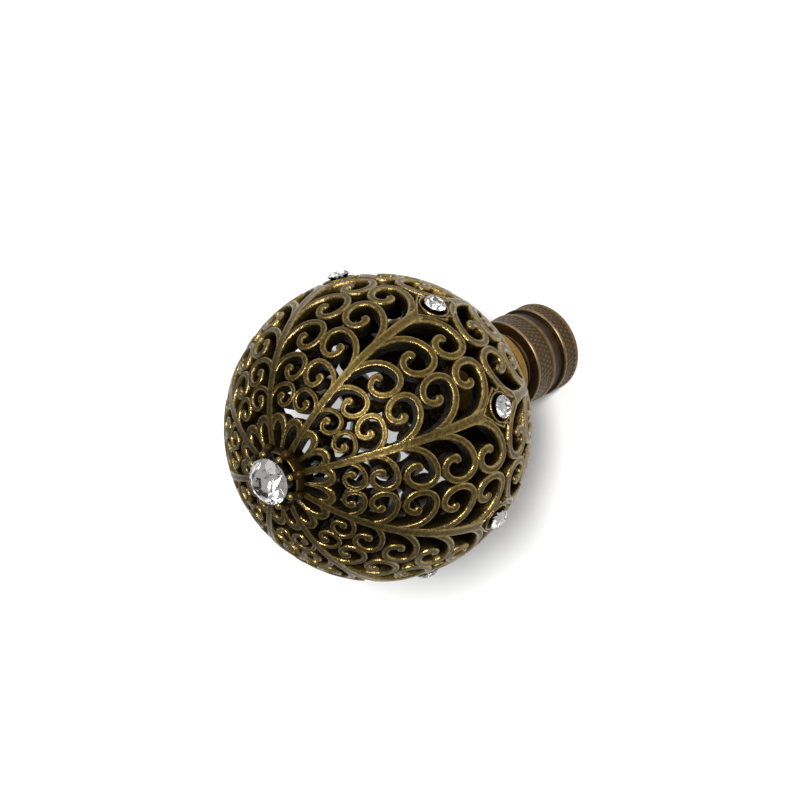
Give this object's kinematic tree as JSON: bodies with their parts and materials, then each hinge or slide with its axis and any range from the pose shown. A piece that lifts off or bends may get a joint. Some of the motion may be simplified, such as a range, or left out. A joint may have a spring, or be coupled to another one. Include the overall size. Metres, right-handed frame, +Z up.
{
  "type": "lamp shade finial",
  "caption": "Pierced scrollwork ball finial in antique brass with clear round stones, on a knurled turned base that screws onto a lamp harp.",
  "frame": {"origin": "centre of the flat underside of the base, on the axis of symmetry", "axes": "+Z up the axis of symmetry from the base through the ball to the top stone; +X through one rib and its stone"},
  "size_m": [0.0422, 0.0422, 0.0604],
  "materials": {
    "cast_brass": "antiqued, dark in the recesses, rubbed bright on the edges",
    "turned_brass": "antiqued, turned and knurled",
    "crystal": "clear, facet cut and polished"
  },
  "bodies": {
    "root": {"finial_ball": "cast_brass", "knurled_base": "turned_brass", "top_crystal": "crystal", "side_crystal_1": "crystal", "side_crystal_2": "crystal", "side_crystal_3": "crystal", "side_crystal_4": "crystal", "side_crystal_5": "crystal", "side_crystal_6": "crystal", "side_crystal_7": "crystal", "side_crystal_8": "crystal"}
  },
  "joints": []
}
